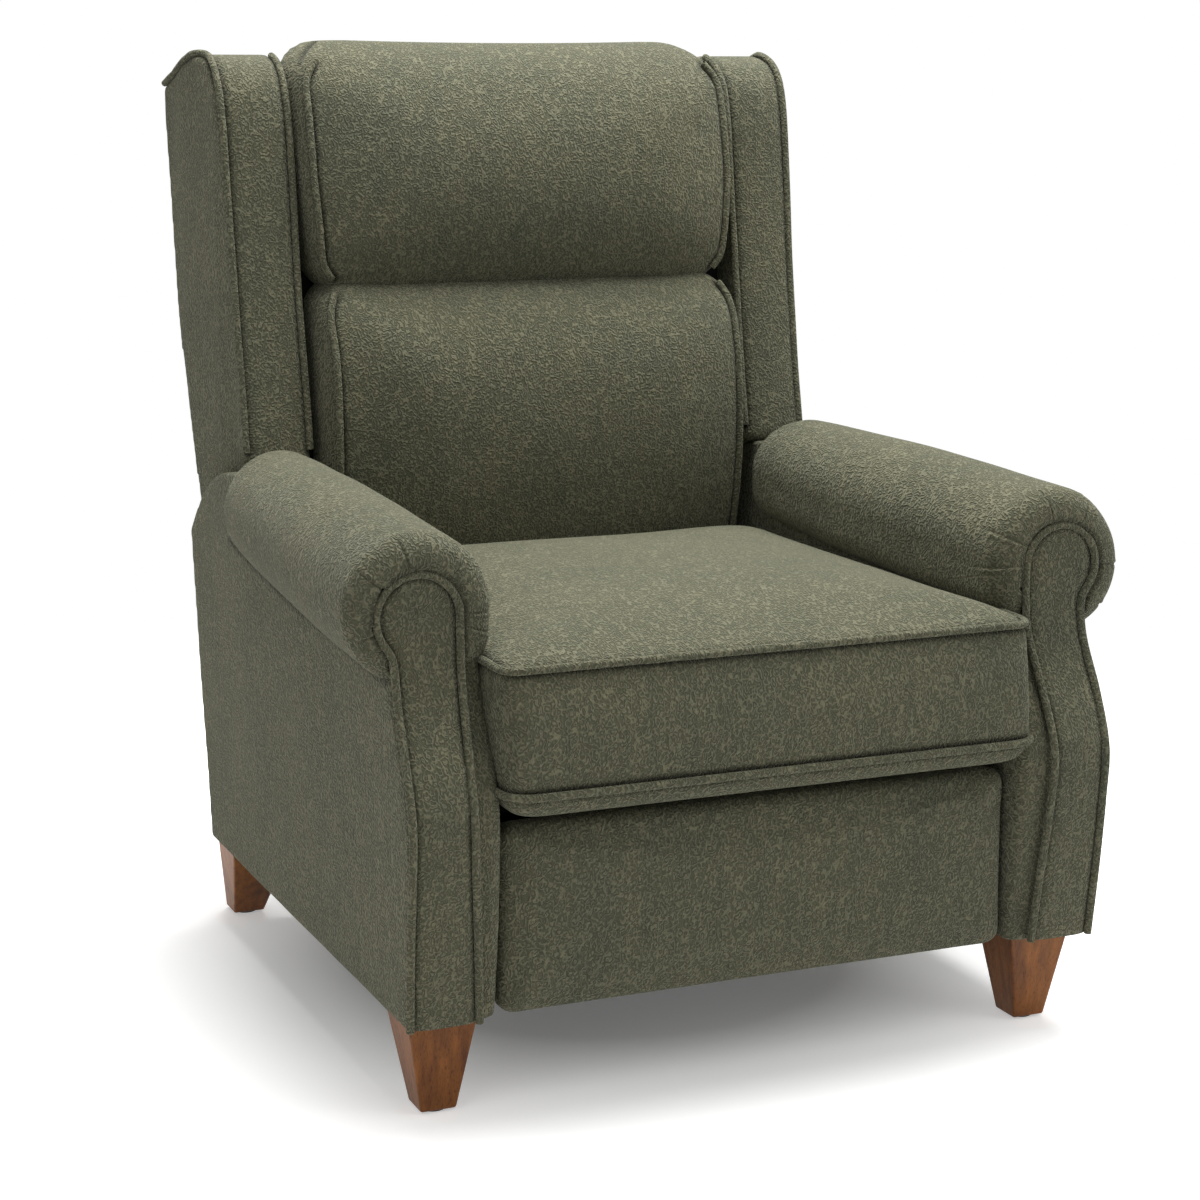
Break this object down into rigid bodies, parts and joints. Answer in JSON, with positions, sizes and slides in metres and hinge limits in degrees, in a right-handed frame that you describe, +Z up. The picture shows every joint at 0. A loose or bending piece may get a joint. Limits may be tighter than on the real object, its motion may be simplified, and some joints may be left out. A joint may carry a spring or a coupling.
{
  "type": "power recliner",
  "caption": "Wing-backed upholstered recliner with rolled arms on tapered wooden legs; motors lay the back down and swing the footrest out.",
  "frame": {"origin": "on the floor, under the middle of the chair's box", "axes": "+Z up, the chair faces -Y, +X to the right of a viewer who looks at its front"},
  "size_m": [0.911, 1, 1.117],
  "materials": {
    "upholstery": "short chenille nap",
    "leg_wood": "stained, satin",
    "frame_wood": "bare plywood",
    "dark_steel": "satin",
    "bright_steel": "zinc plated",
    "black_plastic": "matte",
    "button_plastic": "satin"
  },
  "bodies": {
    "base": {"left_arm_frame": "frame_wood", "right_arm_frame": "frame_wood", "left_arm_pad": "upholstery", "right_arm_pad": "upholstery", "left_arm_front": "upholstery", "right_arm_front": "upholstery", "left_front_leg": "leg_wood", "right_front_leg": "leg_wood", "left_rear_leg": "leg_wood", "right_rear_leg": "leg_wood", "leg_bolts": "bright_steel", "leg_glides": "black_plastic", "left_side_plate": "dark_steel", "right_side_plate": "dark_steel", "cross_tubes": "dark_steel", "rear_panel": "upholstery", "rear_rail": "frame_wood", "power_inlet": "black_plastic", "seat_side_rails": "frame_wood", "seat_cross_rails": "frame_wood", "seat_springs": "bright_steel", "seat_cushion": "upholstery", "footrest_gearbox": "black_plastic", "footrest_motor": "dark_steel", "gearbox_arm": "dark_steel", "back_drive_rail": "dark_steel", "back_drive_gearbox": "black_plastic", "back_drive_motor": "dark_steel", "power_supply": "black_plastic", "switch_bezel": "black_plastic"},
    "back": {"back_uprights": "frame_wood", "back_rails": "frame_wood", "left_back_bracket": "dark_steel", "right_back_bracket": "dark_steel", "back_pivot_tube": "bright_steel", "left_wing": "upholstery", "right_wing": "upholstery", "back_cushion": "upholstery", "headrest_cushion": "upholstery", "outside_back": "upholstery", "back_lever": "dark_steel"},
    "slider": {"back_slider": "bright_steel"},
    "drive": {"drive_tube": "bright_steel", "drive_links": "dark_steel", "knee_pins": "bright_steel"},
    "control": {"control_links": "dark_steel"},
    "extension": {"extension_links": "dark_steel", "extension_pins": "bright_steel"},
    "tilt": {"tilt_links": "dark_steel"},
    "footrest": {"left_footrest_bracket": "dark_steel", "right_footrest_bracket": "dark_steel", "bracket_pins": "bright_steel", "footrest_board": "frame_wood", "footrest_pad": "upholstery"},
    "footrest_out_key": {"footrest_out_button": "button_plastic"},
    "footrest_in_key": {"footrest_in_button": "button_plastic"},
    "back_recline_key": {"back_recline_button": "button_plastic"},
    "back_raise_key": {"back_raise_button": "button_plastic"}
  },
  "joints": [
    {"name": "back_recline", "type": "hinge", "parent": "base", "child": "back", "pos_m": [0, 0.158, 0.31], "axis": [-1, 0, 0], "range_deg": [0, 35]},
    {"name": "back_slide", "type": "slide", "parent": "base", "child": "slider", "axis": [0, -1, 0], "range_m": [0, 0.05473]},
    {"name": "footrest_extend", "type": "hinge", "parent": "base", "child": "drive", "pos_m": [0, -0.275, 0.296], "axis": [-1, 0, 0], "range_deg": [0, 100]},
    {"name": "control_swing", "type": "hinge", "parent": "base", "child": "control", "pos_m": [0, -0.22, 0.281], "axis": [-1, 0, 0], "range_deg": [0, 100]},
    {"name": "extension_swing", "type": "hinge", "parent": "drive", "child": "extension", "pos_m": [0, -0.1825, 0.13578], "axis": [-1, 0, 0], "range_deg": [-100, 0]},
    {"name": "tilt_swing", "type": "hinge", "parent": "drive", "child": "tilt", "pos_m": [0, -0.2025, 0.17043], "axis": [-1, 0, 0], "range_deg": [-100, 0]},
    {"name": "footrest_turn", "type": "hinge", "parent": "extension", "child": "footrest", "pos_m": [0, -0.359, 0.25], "axis": [-1, 0, 0], "range_deg": [0, 100]},
    {"name": "footrest_out_press", "type": "slide", "parent": "base", "child": "footrest_out_key", "axis": [-1, 0, 0], "range_m": [0, 0.0015], "stiffness_N_per_m": 600},
    {"name": "footrest_in_press", "type": "slide", "parent": "base", "child": "footrest_in_key", "axis": [-1, 0, 0], "range_m": [0, 0.0015], "stiffness_N_per_m": 600},
    {"name": "back_recline_press", "type": "slide", "parent": "base", "child": "back_recline_key", "axis": [-1, 0, 0], "range_m": [0, 0.0015], "stiffness_N_per_m": 600},
    {"name": "back_raise_press", "type": "slide", "parent": "base", "child": "back_raise_key", "axis": [-1, 0, 0], "range_m": [0, 0.0015], "stiffness_N_per_m": 600}
  ],
  "couplings": [
    {"joint": "back_slide", "follows": "back_recline", "m_per_rad": 0.088778},
    {"joint": "control_swing", "follows": "footrest_extend", "ratio": 1},
    {"joint": "extension_swing", "follows": "footrest_extend", "ratio": -1},
    {"joint": "tilt_swing", "follows": "footrest_extend", "ratio": -1},
    {"joint": "footrest_turn", "follows": "footrest_extend", "ratio": 1}
  ]
}
